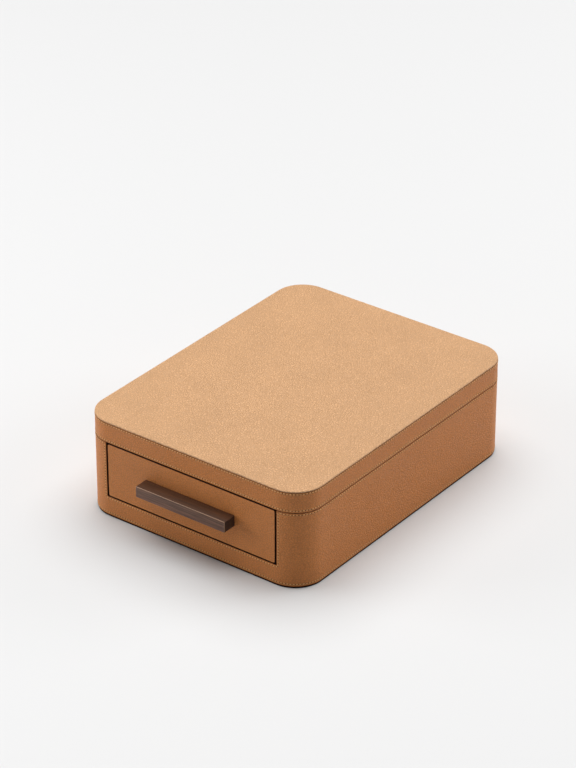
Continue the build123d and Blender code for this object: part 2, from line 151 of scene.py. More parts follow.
# Broad high daylight, a faint sky, and the share of light that the floor throws back
DAYLIGHT = 3.4
DAYLIGHT_ANGLE = 70
DAYLIGHT_FROM = (-0.25, 0.5, 2.0)
SKY = 0.08
FLOOR_BOUNCE = 0.6
FLOOR_REACH = 6


def linear(code):
    """The scene-linear colour of an sRGB hex value such as #b87848."""
    parts = [int(code[i : i + 2], 16) / 255 for i in (1, 3, 5)]
    return tuple(p / 12.92 if p <= 0.04045 else ((p + 0.055) / 1.055) ** 2.4 for p in parts)


def tone(colour, share):
    """A colour made darker or lighter by a share, as RGBA."""
    return tuple(min(1.0, c * share) for c in colour) + (1.0,)


def colour_property(name, code, description):
    """A colour that a user would change, from its sRGB hex value."""
    return FloatVectorProperty(
        name=name,
        description=description,
        default=linear(code),
        subtype="COLOR",
        size=3,
        min=0.0,
        max=1.0,
    )


def length_property(name, value, description):
    """A length that a user would change."""
    return FloatProperty(
        name=name,
        description=description,
        default=value,
        unit="LENGTH",
        subtype="DISTANCE",
        min=0.0,
        precision=5,
    )


class JewelBoxSizes(bpy.types.PropertyGroup):
    """Sizes of the finishing work."""

    edge_radius: length_property("Edge radius", 0.45 * MM, "Rounding of the leather's turned edges")
    crease_radius: length_property("Crease radius", 0.35 * MM, "Rounding at the lid's top crease")
    grain: length_property("Leather grain", 1.7 * MM, "Width of one pebble of the leather's grain")
    stitch_pitch: length_property("Stitch pitch", 2.35 * MM, "From one stitch to the next")
    stitch_length: length_property("Stitch length", 1.7 * MM, "Length of the thread that shows")
    thread: length_property("Thread", 0.8 * MM, "Thickness of the thread")
    nap: length_property("Suede nap", 0.5 * MM, "Width of one tuft of the suede's nap")


class JewelBoxColours(bpy.types.PropertyGroup):
    """Colours of the materials."""

    leather: colour_property("Leather", "#dc8a46", "Tan calf leather of the walls and the drawer")
    # Painted light: a lighter, paler copy of the tan leather, for the lid's panel and the rims'
    # level faces, standing for the light on faces that look up
    top_leather: colour_property("Top leather", "#d8a778", "Tan calf leather of the lid's panel")
    # Painted shade: the dark of the drawer's gap, on the edges that face into it
    gap_shade: colour_property("Edge dye", "#3f1b09", "Dark dye on the edges in the drawer gap")
    # Painted shade: darkens the leather at the seams' grooves, the panel's crease and the base
    seam_shade: colour_property("Edge rub", "#7a3809", "Leather's edges, rubbed dark where two meet")
    thread: colour_property("Thread", "#f2c07e", "Linen thread, lighter than the leather")
    needle_hole_shade: colour_property("Needle hole", "#8c5330", "Shade in the holes between stitches")
    walnut: colour_property("Walnut", "#6c4a38", "Oiled walnut of the pull")
    suede: colour_property("Suede", "#b79a78", "Suede of the lining")
    base_suede: colour_property("Base suede", "#2a180c", "Dark suede under the base")
    # Painted shade: the pull's top and bottom darker than its front, for less light on them
    pull_side_shade: colour_property("Pull side", "#4e2f19", "Darker long grain over and under the pull")
    pull_end: colour_property("Pull end", "#3a2415", "Oiled end grain of the pull")
    # Painted highlight: the pull's front edges lighter, where they catch the light
    pull_edge_highlight: colour_property("Pull edge", "#c39a78", "Edges of the pull, rubbed light")
    board: colour_property("Board", "#b8935f", "Birch plywood carcass")
    maple: colour_property("Maple", "#d6b483", "Waxed maple of the drawer")
    brass: colour_property("Brass", "#dcb86e", "Brushed brass of the hinges")
    screw_brass: colour_property("Screw brass", "#e6d3a3", "Turned brass of the hinge screws")
    floor: colour_property("Floor", "#dadada", "Matt floor under the box")


def sizes():
    return bpy.context.scene.jewel_box_sizes


def colours():
    return bpy.context.scene.jewel_box_colours


# Materials


def new_material(name):
    """An empty node material, its tree, its output and its Object coordinates."""
    material = bpy.data.materials.new(name)
    material.use_nodes = True
    tree = material.node_tree
    tree.nodes.clear()
    output = tree.nodes.new("ShaderNodeOutputMaterial")
    place = tree.nodes.new("ShaderNodeTexCoord").outputs["Object"]
    return material, tree, output, place


def add_node(tree, kind, settings=None, inputs=None):
    """Add a node with its settings, and set or link its inputs."""
    node = tree.nodes.new(kind)
    for name, value in (settings or {}).items():
        setattr(node, name, value)
    for name, value in (inputs or {}).items():
        if isinstance(value, bpy.types.NodeSocket):
            tree.links.new(value, node.inputs[name])
        else:
            node.inputs[name].default_value = value
    return node


def calf_leather(name, dye, stitch_heights=(), shaded_edges=(), relief_depth=0.26 * MM):
    """Vegetable-tanned calf, printed with a fine pebble grain and waxed.

    The grain breaks the light into a fine sparkle, with painted shade in its
    creases; the wax gives a soft broad shine, and the dye lies a little unevenly.
    The edges at the given heights get painted shade, a darker brown with less
    shine, where the seams' grooves and the base's contact shadow fall.
    """
    material, tree, output, place = new_material(name)
    clouds = add_node(
        tree,
        "ShaderNodeTexNoise",
        inputs={"Vector": place, "Scale": 1 / (38 * MM), "Detail": 3.0, "Roughness": 0.55},
    )
    cloud_tone = add_node(
        tree,
        "ShaderNodeMix",
        {"data_type": "RGBA"},
        {0: clouds.outputs["Fac"], 6: tone(dye, 0.93), 7: tone(dye, 1.07)},
    )
    pebble = add_node(
        tree,
        "ShaderNodeTexVoronoi",
        {"feature": "DISTANCE_TO_EDGE"},
        {"Vector": place, "Scale": 1 / sizes().grain, "Randomness": 1.0},
    )
    crease = add_node(
        tree,
        "ShaderNodeMapRange",
        {"interpolation_type": "SMOOTHSTEP"},
        {"Value": pebble.outputs["Distance"], "From Min": 0.0, "From Max": 0.22},
    )
    pore = add_node(
        tree,
        "ShaderNodeTexNoise",
        inputs={"Vector": place, "Scale": 1 / (0.45 * MM), "Detail": 2.0},
    )
    # Painted shade: the colour is darker in the grain's creases
    crease_tone = add_node(
        tree,
        "ShaderNodeMix",
        {"data_type": "RGBA", "blend_type": "MULTIPLY"},
        {0: 1.0, 6: cloud_tone.outputs[2]},
    )
    crease_shade = add_node(
        tree,
        "ShaderNodeMapRange",
        inputs={"Value": crease.outputs["Result"], "To Min": 0.83, "To Max": 1.03},
    )
    shade_colour = add_node(
        tree,
        "ShaderNodeCombineColor",
        inputs={i: crease_shade.outputs["Result"] for i in range(3)},
    )
    tree.links.new(shade_colour.outputs["Color"], crease_tone.inputs[7])
    height = add_node(
        tree,
        "ShaderNodeMath",
        {"operation": "MULTIPLY_ADD"},
        {0: pore.outputs["Fac"], 1: 0.25, 2: crease.outputs["Result"]},
    )
    relief = height.outputs["Value"]
    hide = crease_tone.outputs[2]
    shine = WAXED_SHINE
    upright = add_node(tree, "ShaderNodeSeparateXYZ", inputs={"Vector": place})
    # Painted shade: each edge is darkened and loses its shine where the seams' grooves and the
    # base's contact shadow fall
    for edge_z, strength in shaded_edges:
        near = add_node(
            tree,
            "ShaderNodeMath",
            {"operation": "SUBTRACT"},
            {0: upright.outputs["Z"], 1: edge_z},
        )
        gap = add_node(
            tree, "ShaderNodeMath", {"operation": "ABSOLUTE"}, {0: near.outputs["Value"]}
        )
        painted_light = add_node(
            tree,
            "ShaderNodeMapRange",
            {"interpolation_type": "SMOOTHSTEP"},
            {
                "Value": gap.outputs["Value"],
                "From Min": SHADE_FULL_REACH,
                "From Max": SHADE_END_REACH,
                "To Min": strength,
                "To Max": 0.0,
            },
        )
        hide = add_node(
            tree,
            "ShaderNodeMix",
            {"data_type": "RGBA"},
            {0: painted_light.outputs["Result"], 6: hide, 7: tone(colours().seam_shade, 1.0)},
        ).outputs[2]
        shine = add_node(
            tree,
            "ShaderNodeMix",
            {"data_type": "FLOAT"},
            {0: painted_light.outputs["Result"], 2: shine, 3: 0.0},
        ).outputs[0]
    for stitch_z in stitch_heights:
        distance = add_node(
            tree,
            "ShaderNodeMath",
            {"operation": "COMPARE"},
            {0: upright.outputs["Z"], 1: stitch_z, 2: 0.35 * MM},
        )
        relief = add_node(
            tree,
            "ShaderNodeMath",
            {"operation": "MULTIPLY_ADD"},
            {0: distance.outputs["Value"], 1: -1.5, 2: relief},
        ).outputs["Value"]
    bump = add_node(
        tree,
        "ShaderNodeBump",
        inputs={"Height": relief, "Distance": relief_depth, "Strength": 0.8},
    )
    gloss = add_node(
        tree,
        "ShaderNodeMapRange",
        inputs={"Value": clouds.outputs["Fac"], "To Min": 0.46, "To Max": 0.60},
    )
    surface = add_node(
        tree,
        "ShaderNodeBsdfPrincipled",
        inputs={
            "Base Color": hide,
            "Roughness": gloss.outputs["Result"],
            "IOR": 1.48,
            "Specular IOR Level": shine,
            "Normal": bump.outputs["Normal"],
        },
    )
    tree.links.new(surface.outputs["BSDF"], output.inputs["Surface"])
    return material


def plain_finish(name, colour, roughness):
    """A plain matt coat, as of painted shade in the drawer's gap or in a needle hole."""
    material, tree, output, _ = new_material(name)
    surface = add_node(
        tree,
        "ShaderNodeBsdfPrincipled",
        inputs={"Base Color": tone(colour, 1.0), "Roughness": roughness, "IOR": 1.45},
    )
    tree.links.new(surface.outputs["BSDF"], output.inputs["Surface"])
    return material


def linen_thread(name):
    """Waxed linen sewing thread: its ply shows as fine slanting ribs."""
    material, tree, output, place = new_material(name)
    fibre = add_node(
        tree,
        "ShaderNodeTexNoise",
        inputs={"Vector": place, "Scale": 1 / (0.3 * MM), "Detail": 2.0},
    )
    yarn = add_node(
        tree,
        "ShaderNodeMix",
        {"data_type": "RGBA"},
        {0: fibre.outputs["Fac"], 6: tone(colours().thread, 0.86), 7: tone(colours().thread, 1.1)},
    )
    bump = add_node(
        tree,
        "ShaderNodeBump",
        inputs={"Height": fibre.outputs["Fac"], "Distance": 0.05 * MM, "Strength": 0.6},
    )
    surface = add_node(
        tree,
        "ShaderNodeBsdfPrincipled",
        inputs={
            "Base Color": yarn.outputs[2],
            "Roughness": 0.62,
            "IOR": 1.5,
            "Normal": bump.outputs["Normal"],
        },
    )
    tree.links.new(surface.outputs["BSDF"], output.inputs["Surface"])
    return material


def timber(name, colour, grain_width, contrast, roughness, along=(1.0, 0.0, 0.0)):
    """Planed and oiled wood: long growth rings and fine open pores along the grain."""
    material, tree, output, place = new_material(name)
    stretch = [0.045 if a else 1.0 for a in along]
    fibres = add_node(
        tree,
        "ShaderNodeMapping",
        inputs={"Vector": place, "Scale": stretch, "Rotation": (0.0, 0.0, 0.02)},
    )
    rings = add_node(
        tree,
        "ShaderNodeTexNoise",
        inputs={
            "Vector": fibres.outputs["Vector"],
            "Scale": 1 / grain_width,
            "Detail": 4.0,
            "Roughness": 0.6,
            "Distortion": 0.35,
        },
    )
    pores = add_node(
        tree,
        "ShaderNodeTexNoise",
        inputs={
            "Vector": fibres.outputs["Vector"],
            "Scale": 5 / grain_width,
            "Detail": 2.0,
            "Roughness": 0.7,
        },
    )
    rings_wide = add_node(
        tree,
        "ShaderNodeMapRange",
        inputs={"Value": rings.outputs["Fac"], "From Min": 0.32, "From Max": 0.68},
    )
    wood_tone = add_node(
        tree,
        "ShaderNodeMix",
        {"data_type": "RGBA"},
        {
            0: rings_wide.outputs["Result"],
            6: tone(colour, 1 - contrast),
            7: tone(colour, 1 + contrast),
        },
    )
    pore_mask = add_node(
        tree,
        "ShaderNodeMapRange",
        inputs={"Value": pores.outputs["Fac"], "From Min": 0.58, "From Max": 0.72},
    )
    pored = add_node(
        tree,
        "ShaderNodeMix",
        {"data_type": "RGBA"},
        {0: pore_mask.outputs["Result"], 6: wood_tone.outputs[2], 7: tone(colour, 0.55)},
    )
    bump = add_node(
        tree,
        "ShaderNodeBump",
        {"invert": True},
        {"Height": pore_mask.outputs["Result"], "Distance": 0.06 * MM, "Strength": 0.5},
    )
    surface = add_node(
        tree,
        "ShaderNodeBsdfPrincipled",
        inputs={
            "Base Color": pored.outputs[2],
            "Roughness": roughness,
            "IOR": 1.5,
            "Normal": bump.outputs["Normal"],
        },
    )
    tree.links.new(surface.outputs["BSDF"], output.inputs["Surface"])
    return material


def napped_suede(name, colour, sheen=0.35):
    """Split leather brushed to a short nap: matt, soft at its edges, faintly brushed."""
    material, tree, output, place = new_material(name)
    tufts = add_node(
        tree,
        "ShaderNodeTexNoise",
        inputs={"Vector": place, "Scale": 1 / sizes().nap, "Detail": 3.0, "Roughness": 0.65},
    )
    brushed = add_node(
        tree,
        "ShaderNodeTexNoise",
        inputs={"Vector": place, "Scale": 1 / (9 * MM), "Detail": 2.0, "Distortion": 0.8},
    )
    nap_height = add_node(
        tree,
        "ShaderNodeMath",
        {"operation": "MULTIPLY_ADD"},
        {0: tufts.outputs["Fac"], 1: 0.55, 2: brushed.outputs["Fac"]},
    )
    nap_tone = add_node(
        tree,
        "ShaderNodeMapRange",
        inputs={"Value": nap_height.outputs["Value"], "From Min": 0.45, "From Max": 1.1},
    )
    pile = add_node(
        tree,
        "ShaderNodeMix",
        {"data_type": "RGBA"},
        {0: nap_tone.outputs["Result"], 6: tone(colour, 0.89), 7: tone(colour, 1.09)},
    )
    bump = add_node(
        tree,
        "ShaderNodeBump",
        inputs={"Height": tufts.outputs["Fac"], "Distance": 0.12 * MM, "Strength": 0.6},
    )
    surface = add_node(
        tree,
        "ShaderNodeBsdfPrincipled",
        inputs={
            "Base Color": pile.outputs[2],
            "Roughness": 0.95,
            "Specular IOR Level": 0.2,
            "Sheen Weight": sheen,
            "Sheen Roughness": 0.5,
            "Normal": bump.outputs["Normal"],
        },
    )
    tree.links.new(surface.outputs["BSDF"], output.inputs["Surface"])
    return material


def brushed_brass(name, colour):
    """Rolled brass sheet, brushed along the hinge and lacquered."""
    material, tree, output, place = new_material(name)
    lines = add_node(
        tree,
        "ShaderNodeMapping",
        inputs={"Vector": place, "Scale": (0.03, 1.0, 1.0)},
    )
    scratch = add_node(
        tree,
        "ShaderNodeTexNoise",
        inputs={"Vector": lines.outputs["Vector"], "Scale": 1 / (0.18 * MM), "Detail": 2.0},
    )
    gloss = add_node(
        tree,
        "ShaderNodeMapRange",
        inputs={"Value": scratch.outputs["Fac"], "To Min": 0.24, "To Max": 0.42},
    )
    bump = add_node(
        tree,
        "ShaderNodeBump",
        inputs={"Height": scratch.outputs["Fac"], "Distance": 0.01 * MM, "Strength": 0.4},
    )
    surface = add_node(
        tree,
        "ShaderNodeBsdfPrincipled",
        inputs={
            "Base Color": tone(colour, 1.0),
            "Metallic": 1.0,
            "Roughness": gloss.outputs["Result"],
            "Normal": bump.outputs["Normal"],
        },
    )
    tree.links.new(surface.outputs["BSDF"], output.inputs["Surface"])
    return material


# Modelling


def dress(name, bm, materials, body, nodes=(), edge=0.0, edge_slot=-1):
    """Make a piece of a bmesh: its materials, its body and the nodes it stands for."""
    mesh = bpy.data.meshes.new(name)
    for face in bm.faces:
        face.smooth = True
    bm.to_mesh(mesh)
    bm.free()
    for material in materials:
        mesh.materials.append(material)
    piece = bpy.data.objects.new(name, mesh)
    bpy.context.scene.collection.objects.link(piece)
    if edge:
        bevel = piece.modifiers.new("turned edges", "BEVEL")
        bevel.width = edge
        bevel.segments = 4
        bevel.limit_method = "ANGLE"
        bevel.angle_limit = math.radians(35)
        bevel.harden_normals = True
        bevel.material = edge_slot
    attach(piece, body)
    if nodes:
        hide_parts(*nodes)
    return piece


def finish_nodes(names, material):
    """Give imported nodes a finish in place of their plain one."""
    for name in names:
        node = frame["nodes"][name]
        node.data.materials.clear()
        node.data.materials.append(material)


def plan_prism(low, high):
    """A prism of the box's rounded plan between two heights."""
    bm = bmesh.new()
    bmesh.ops.create_cube(bm, size=1)
    bmesh.ops.scale(bm, vec=(2 * HALF_X, 2 * HALF_Y, high - low), verts=bm.verts)
    bmesh.ops.translate(bm, vec=(0, 0, (low + high) / 2), verts=bm.verts)
    upright = [e for e in bm.edges if abs(e.verts[0].co.z - e.verts[1].co.z) > NEAR]
    bmesh.ops.bevel(
        bm,
        geom=upright,
        offset=CORNER_RADIUS,
        segments=CORNER_SEGMENTS,
        profile=0.5,
        affect="EDGES",
        material=-1,
    )
    settle(bm)
    return bm


def settle(bm):
    """Order a mesh's parts by place.

    It doesn't make every run the same. Near the upper corners of the drawer
    opening the case's skin can still differ a little from one run to the next.
    """
    # Unequal weights, so that mirrored places don't tie
    weights = Vector((1.0, 137.1, 9173.3))
    bm.verts.sort(key=lambda v: v.co.dot(weights))
    bm.edges.sort(key=lambda e: (e.verts[0].co + e.verts[1].co).dot(weights))
    bm.faces.sort(key=lambda f: f.calc_center_median().dot(weights))


def level_face(bm, up):
    """The face that looks straight up (1) or down (-1)."""
    return max(bm.faces, key=lambda face: up * face.normal.z)


def level_face_inside(bm, height):
    """The face at a height whose middle lies nearest the box's middle."""
    level = [f for f in bm.faces if abs(f.calc_center_median().z - height) < NEAR]
    return min(level, key=lambda face: face.calc_center_bounds().to_2d().length)


def cut_across(bm, point, normal, keep):
    """Cut the faces that a test keeps along a plane, without removing anything."""
    faces = [f for f in bm.faces if keep(f.calc_center_bounds())]
    geom = dict.fromkeys(faces)
    for face in faces:
        geom.update(dict.fromkeys(face.edges))
        geom.update(dict.fromkeys(face.verts))
    bmesh.ops.bisect_plane(
        bm, geom=list(geom), dist=NEAR / 10, plane_co=point, plane_no=normal
    )
    settle(bm)


def remove_faces(bm, test):
    doomed = [f for f in bm.faces if test(f.calc_center_bounds())]
    bmesh.ops.delete(bm, geom=doomed, context="FACES")


def cut_hinge_pockets(bm, rim, away):
    """Open the leather for the leaves and barrels at the back.

    rim is the height of the turned-in rim, and away is 1 where the wall rises
    from it or -1 where the wall hangs from it.
    """
    reach = rim + away * POCKET_DEPTH

    def at_back(centre):
        return centre.y > INNER_Y - NEAR

    for side in (-1, 1):
        for end in (leaf_low.x - POCKET_SLACK, leaf_high.x + POCKET_SLACK):
            cut_across(bm, (side * end, 0, 0), (1, 0, 0), at_back)
    cut_across(bm, (0, 0, reach), (0, 0, 1), lambda c: c.y > HALF_Y - NEAR)
    edge_y = LEAF_DEPTH_Y - POCKET_SLACK
    cut_across(bm, (0, edge_y, 0), (0, 1, 0), lambda c: at_back(c) and abs(c.z - rim) < NEAR)
    remove_faces(
        bm,
        lambda c: c.y > edge_y
        and leaf_low.x - POCKET_SLACK < abs(c.x) < leaf_high.x + POCKET_SLACK
        and abs(c.z - rim) < POCKET_DEPTH,
    )


def face_outwards(bm):
    """Make a shell's faces agree and look out of the box."""
    bmesh.ops.recalc_face_normals(bm, faces=bm.faces)
    side = max(bm.faces, key=lambda face: face.calc_center_bounds().x)
    if side.normal.x < 0:
        bmesh.ops.reverse_faces(bm, faces=bm.faces)


def give_thickness(bm):
    """Give a shell the leather's thickness, on its inner side."""
    bm.normal_update()
    bmesh.ops.solidify(bm, geom=bm.faces, thickness=LEATHER)


def outline_place(distance, inset):
    """Point and direction at a distance along the rounded plan, from the front's middle."""
    radius = CORNER_RADIUS - inset
    straight_x = HALF_X - CORNER_RADIUS
    straight_y = HALF_Y - CORNER_RADIUS
    arc = radius * math.pi / 2
    round_half = [arc, 2 * straight_y, arc]
    runs = [straight_x, *round_half, 2 * straight_x, *round_half, straight_x]
    corners = [(1, -1, -90), (1, 1, 0), (-1, 1, 90), (-1, -1, 180)]
    starts = [
        (0, -HALF_Y + inset, 1, 0),
        (HALF_X - inset, -straight_y, 0, 1),
        (straight_x, HALF_Y - inset, -1, 0),
        (-HALF_X + inset, straight_y, 0, -1),
        (-straight_x, -HALF_Y + inset, 1, 0),
    ]
    left = distance
    for number, run in enumerate(runs):
        if left <= run or number == len(runs) - 1:
            break
        left -= run
    if number % 2:
        side_x, side_y, start = corners[number // 2]
        angle = math.radians(start) + left / radius
        centre = Vector((side_x * straight_x, side_y * straight_y))
        out = Vector((math.cos(angle), math.sin(angle)))
        return centre + radius * out, Vector((-out.y, out.x))
    x, y, along_x, along_y = starts[number // 2]
    return Vector((x + along_x * left, y + along_y * left)), Vector((along_x, along_y))


def outline_length(inset):
    radius = CORNER_RADIUS - inset
    return 4 * (HALF_X + HALF_Y - 2 * CORNER_RADIUS) + 2 * math.pi * radius


def stitch_mesh():
    """One stitch along X: a slanted bead of thread, and beside it a flat disc of painted shade for
    the needle hole.
    """
    thread = sizes().thread
    bm = bmesh.new()
    slant = Matrix.Rotation(math.radians(9), 4, "Z")
    size = Matrix.Diagonal((sizes().stitch_length / 2, thread / 2, thread / 2, 1))
    sink = Matrix.Translation((0, 0, -0.2 * thread))
    bmesh.ops.create_uvsphere(
        bm, u_segments=8, v_segments=6, radius=1, matrix=sink @ slant @ size
    )
    bead = set(bm.faces)
    hole = Matrix.Translation((sizes().stitch_pitch / 2, 0, 0))
    flat = Matrix.Diagonal((0.42 * thread, 0.62 * thread, 0.06 * thread, 1))
    bmesh.ops.create_uvsphere(bm, u_segments=8, v_segments=4, radius=1, matrix=hole @ flat)
    for face in bm.faces:
        face.material_index = 0 if face in bead else 1
    mesh = bpy.data.meshes.new("stitch")
    bm.to_mesh(mesh)
    bm.free()
    return mesh


def sew(bm, stitch, place, along, out):
    """Add one stitch to a row."""
    turn = Matrix((along, out.cross(along), out)).transposed().to_4x4()
    put = Matrix.Translation(place) @ turn
    stitch.transform(put)
    bm.from_mesh(stitch)
    stitch.transform(put.inverted())


def sew_round(bm, stitch, height, skip_opening=False):
    """A row of stitches right round the box at one height."""
    length = outline_length(0)
    count = round(length / sizes().stitch_pitch)
    opening_end = OPENING_HALF + ROW_ROUND_OPENING
    for number in range(count):
        point, along = outline_place((number + 0.5) * length / count, 0)
        if skip_opening and point.y < -HALF_Y / 2 and abs(point.x) < opening_end:
            continue
        along = Vector((along.x, along.y, 0))
        out = Vector((along.y, -along.x, 0))
        sew(bm, stitch, Vector((point.x, point.y, height)), along, out)


def sew_opening(bm, stitch, top):
    """The row of stitches down, under and up round the drawer opening."""
    x = OPENING_HALF + ROW_ROUND_OPENING
    low = SILL_Z - ROW_ROUND_OPENING
    radius = OPENING_CORNER
    centre_z = low + radius
    drop = top - low - radius
    arc = radius * math.pi / 2
    flat = 2 * (x - radius)
    total = 2 * drop + 2 * arc + flat
    count = round(total / sizes().stitch_pitch)
    for number in range(count):
        left = (number + 0.5) * total / count
        if left < drop:
            spot, along = (-x, top - left), (0, -1)
        elif left < drop + arc:
            angle = math.pi + (left - drop) / radius
            spot = (-x + radius + radius * math.cos(angle), centre_z + radius * math.sin(angle))
            along = (-math.sin(angle), math.cos(angle))
        elif left < drop + arc + flat:
            spot, along = (-x + radius + left - drop - arc, low), (1, 0)
        elif left < drop + 2 * arc + flat:
            angle = 1.5 * math.pi + (left - drop - arc - flat) / radius
            spot = (x - radius + radius * math.cos(angle), centre_z + radius * math.sin(angle))
            along = (-math.sin(angle), math.cos(angle))
        else:
            spot, along = (x, centre_z + left - drop - 2 * arc - flat), (0, 1)
        bend = max(0.0, abs(spot[0]) - (HALF_X - CORNER_RADIUS))
        y = -HALF_Y + CORNER_RADIUS - math.sqrt(CORNER_RADIUS**2 - bend**2)
        place = Vector((spot[0], y, spot[1]))
        sew(bm, stitch, place, Vector((along[0], 0, along[1])), Vector((0, -1, 0)))


def swell(bm, voxel, cap, low, high):
    """Fill a padded form as cloth over its stuffing, and keep it in its own place."""
    scene = bpy.context.scene
    mesh = bpy.data.meshes.new("padded form")
    bm.to_mesh(mesh)
    bm.free()
    form = bpy.data.objects.new("padded_form", mesh)
    scene.collection.objects.link(form)
    remesh = form.modifiers.new("even mesh", "REMESH")
    remesh.mode = "VOXEL"
    remesh.voxel_size = voxel
    graph = bpy.context.evaluated_depsgraph_get()
    even = bpy.data.meshes.new_from_object(form.evaluated_get(graph))
    form.modifiers.clear()
    form.data = even
    start = [vert.co.copy() for vert in even.vertices]
    cloth = form.modifiers.new("filling", "CLOTH")
    cloth.settings.use_pressure = True
    cloth.settings.uniform_pressure_force = SWELL_PRESSURE
    cloth.settings.effector_weights.gravity = 0.0
    cloth.point_cache.frame_start = 1
    cloth.point_cache.frame_end = SWELL_FRAMES
    for number in range(1, SWELL_FRAMES + 1):
        scene.frame_set(number)
    graph = bpy.context.evaluated_depsgraph_get()
    full = bpy.data.meshes.new_from_object(form.evaluated_get(graph))
    swollen = bmesh.new()
    swollen.from_mesh(full)
    for vert, was in zip(swollen.verts, start):
        move = vert.co - was
        if move.length > cap:
            move *= cap / move.length
        spot = was + move
        vert.co = [min(max(a, b), c) for a, b, c in zip(spot, low, high)]
    scene.frame_set(1)
    bpy.data.objects.remove(form)
    for used in (mesh, even, full):
        bpy.data.meshes.remove(used)
    bmesh.ops.smooth_vert(
        swollen,
        verts=swollen.verts,
        factor=0.5,
        use_axis_x=True,
        use_axis_y=True,
        use_axis_z=True,
    )
    return swollen


def rounded_block(low, high, radius, segments=5):
    """A block with all its edges rounded."""
    bm = bmesh.new()
    bmesh.ops.create_cube(bm, size=1)
    bmesh.ops.scale(bm, vec=high - low, verts=bm.verts)
    bmesh.ops.translate(bm, vec=(low + high) / 2, verts=bm.verts)
    bmesh.ops.bevel(
        bm,
        geom=bm.edges[:],
        offset=radius,
        segments=segments,
        profile=0.5,
        affect="EDGES",
        material=-1,
    )
    return bm


def padded_panel(low, high):
    """The lid's pad before filling: a flat panel with round corners and soft edges."""
    bm = bmesh.new()
    bmesh.ops.create_cube(bm, size=1)
    bmesh.ops.scale(bm, vec=high - low, verts=bm.verts)
    bmesh.ops.translate(bm, vec=(low + high) / 2, verts=bm.verts)
    upright = [e for e in bm.edges if abs(e.verts[0].co.z - e.verts[1].co.z) > NEAR]
    bmesh.ops.bevel(
        bm,
        geom=upright,
        offset=PAD_CORNER,
        segments=8,
        profile=0.5,
        affect="EDGES",
        material=-1,
    )
    rim = [e for e in bm.edges if abs(e.verts[0].co.z - e.verts[1].co.z) < NEAR]
    bmesh.ops.bevel(
        bm,
        geom=rim,
        offset=PAD_EDGE,
        segments=3,
        profile=0.5,
        affect="EDGES",
        material=-1,
    )
    return bm


def slotted_screws(places, down, radius, length):
    """Countersunk wood screws: a slotted head, a cone under it and a plain shank."""
    bm = bmesh.new()
    for place, turn in places:
        screw = bmesh.new()
        bmesh.ops.create_circle(screw, cap_ends=True, segments=SCREW_SIDES, radius=radius)
        for side in (-1, 1):
            bmesh.ops.bisect_plane(
                screw,
                geom=screw.verts[:] + screw.edges[:] + screw.faces[:],
                plane_co=(0, side * SLOT_WIDTH / 2, 0),
                plane_no=(0, 1, 0),
            )
        rim = [e for e in screw.edges if e.is_boundary]
        low = bmesh.ops.extrude_edge_only(screw, edges=rim)["geom"]
        ring = [g for g in low if isinstance(g, bmesh.types.BMVert)]
        for vert in ring:
            vert.co *= 0.5
            vert.co.z = -0.55 * radius
        edges = [g for g in low if isinstance(g, bmesh.types.BMEdge)]
        tip = bmesh.ops.extrude_edge_only(screw, edges=edges)["geom"]
        tip_verts = [g for g in tip if isinstance(g, bmesh.types.BMVert)]
        for vert in tip_verts:
            vert.co.z = -length
        bmesh.ops.contextual_create(
            screw, geom=[g for g in tip if isinstance(g, bmesh.types.BMEdge)]
        )
        strip = [
            f
            for f in screw.faces
            if abs(f.calc_center_median().z) < NEAR and abs(f.calc_center_median().y) < NEAR
        ]
        sunk = bmesh.ops.extrude_face_region(screw, geom=strip)["geom"]
        bmesh.ops.delete(screw, geom=strip, context="FACES_ONLY")
        for vert in (g for g in sunk if isinstance(g, bmesh.types.BMVert)):
            vert.co.z -= SLOT_DEPTH
        bmesh.ops.recalc_face_normals(screw, faces=screw.faces)
        spin = Matrix.Rotation(math.radians(turn), 4, "Z")
        flip = Matrix.Rotation(0 if down < 0 else math.pi, 4, "X")
        screw.transform(Matrix.Translation(place) @ flip @ spin)
        mesh = bpy.data.meshes.new("screw")
        screw.to_mesh(mesh)
        screw.free()
        bm.from_mesh(mesh)
        bpy.data.meshes.remove(mesh)
    return bm


# Operators


